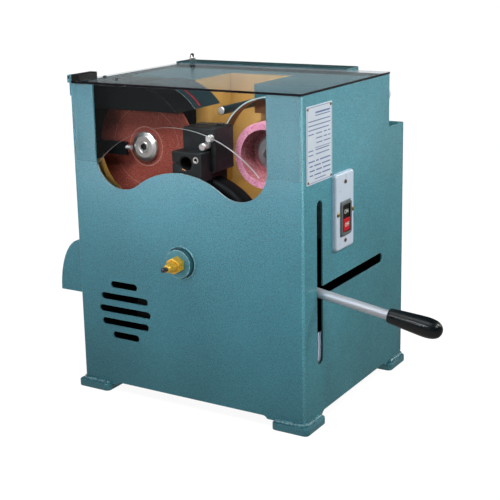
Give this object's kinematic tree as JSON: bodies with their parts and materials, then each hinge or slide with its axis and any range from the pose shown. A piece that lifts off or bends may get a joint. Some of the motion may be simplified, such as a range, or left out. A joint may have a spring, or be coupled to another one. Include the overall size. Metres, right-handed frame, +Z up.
{
  "type": "bench cut-off and face grinder",
  "caption": "Bench machine that cuts and face-grinds round pins: teal steel cabinet, smoked lid, cut-off disc, pink cup wheel, swinging pin clamp and side lever.",
  "frame": {"origin": "at floor level under the middle of the whole machine's bounding box, lever and hood included", "axes": "+X to the operator's right, towards the lever; +Y to the rear of the cabinet; +Z up"},
  "size_m": [0.6286, 0.392, 0.5045],
  "materials": {
    "teal_paint": "fine hammertone enamel, semi-gloss",
    "dark_teal_paint": "dark enamel, semi-gloss",
    "yellow_paint": "smooth enamel",
    "black_paint": "satin black paint",
    "black_iron": "blackened machined iron",
    "smoked_acrylic": "polished smoked acrylic sheet",
    "steel": "turned bright steel",
    "grey_iron": "grey primer",
    "aluminium": "machined",
    "tag_enamel": "white enamel on aluminium with a blue border",
    "chrome": "bright chrome plate",
    "brass": "machined brass",
    "black_gloss_plastic": "moulded glossy black",
    "red_plastic": "moulded red",
    "grey_plastic": "moulded grey",
    "pale_plastic": "moulded pale blue-white",
    "red_abrasive": "resin-bonded grit",
    "pink_abrasive": "vitrified pink grit",
    "belt_rubber": "rubber belt"
  },
  "bodies": {
    "cabinet": {"front_panel": "teal_paint", "left_side": "teal_paint", "right_side": "teal_paint", "rear_wall": "teal_paint", "base_plate": "teal_paint", "feet": "teal_paint", "discharge_hood": "teal_paint", "top_deck": "teal_paint", "rear_cover_upper": "teal_paint", "rear_cover_lower": "teal_paint", "pivot_boss": "teal_paint", "hinge_knuckles": "teal_paint", "cup_shroud": "teal_paint", "disc_guard_rear": "dark_teal_paint", "chamber_liner": "yellow_paint", "disc_guard_front": "black_paint", "coolant_bar": "black_paint", "rear_cover_screws": "steel", "hinge_pin": "steel", "lid_stop_stud": "steel", "pivot_shaft": "steel", "stop_rod": "steel", "spindle_bearings": "steel", "rating_plate_rivets": "steel", "spindle_housings": "grey_iron", "motor_body": "grey_iron", "rating_plate": "tag_enamel", "grease_nipple": "brass", "switch_screws": "brass", "switch_module": "grey_plastic", "switch_plate": "pale_plastic", "cable_gland": "pale_plastic", "drive_belts": "belt_rubber"},
    "lid": {"lid_top": "smoked_acrylic", "lid_flap": "smoked_acrylic", "hinge_blocks": "black_paint", "hinge_screws": "steel"},
    "arm": {"pivot_bushes": "brass", "swing_arm": "black_iron", "lever_rod": "chrome", "lever_grip": "black_gloss_plastic", "splash_sector": "black_paint", "clamp_block": "black_iron", "clamp_jaw": "black_iron", "work_bushes": "brass", "clamp_screw": "steel", "clamp_pins": "steel"},
    "disc_rotor": {"cut_off_disc": "red_abrasive", "disc_flanges": "steel", "disc_bolt": "steel", "disc_spindle": "steel", "disc_pulley": "aluminium"},
    "cup_rotor": {"cup_wheel": "pink_abrasive", "cup_flange_and_nut": "steel", "cup_spindle": "steel", "cup_pulley": "aluminium"},
    "drive_rotor": {"motor_rotor": "steel", "motor_pulley": "aluminium"},
    "on_key": {"on_button": "black_gloss_plastic"},
    "off_key": {"off_button": "red_plastic"}
  },
  "joints": [
    {"name": "lid_hinge", "type": "hinge", "parent": "cabinet", "child": "lid", "pos_m": [-0.27253, -0.127, 0.4943], "axis": [0, -1, 0], "range_deg": [0, 100]},
    {"name": "arm_swing", "type": "hinge", "parent": "cabinet", "child": "arm", "pos_m": [-0.07633, -0.097, 0.229], "axis": [0, -1, 0], "range_deg": [-23.5, 13]},
    {"name": "motor_spin", "type": "hinge", "parent": "cabinet", "child": "drive_rotor", "pos_m": [-0.16133, 0.153, 0.105], "axis": [0, 1, 0], "continuous": true},
    {"name": "disc_spin", "type": "hinge", "parent": "cabinet", "child": "disc_rotor", "pos_m": [-0.17333, -0.089, 0.387], "axis": [0, 1, 0], "continuous": true},
    {"name": "cup_spin", "type": "hinge", "parent": "cabinet", "child": "cup_rotor", "pos_m": [0.01567, -0.059, 0.381], "axis": [0, 1, 0], "continuous": true},
    {"name": "on_press", "type": "slide", "parent": "cabinet", "child": "on_key", "axis": [-1, 0, 0], "range_m": [0, 0.003], "stiffness_N_per_m": 800},
    {"name": "off_press", "type": "slide", "parent": "cabinet", "child": "off_key", "axis": [-1, 0, 0], "range_m": [0, 0.003], "stiffness_N_per_m": 800}
  ],
  "couplings": [
    {"joint": "disc_spin", "follows": "motor_spin", "ratio": 1.1071},
    {"joint": "cup_spin", "follows": "motor_spin", "ratio": 1.1071}
  ]
}
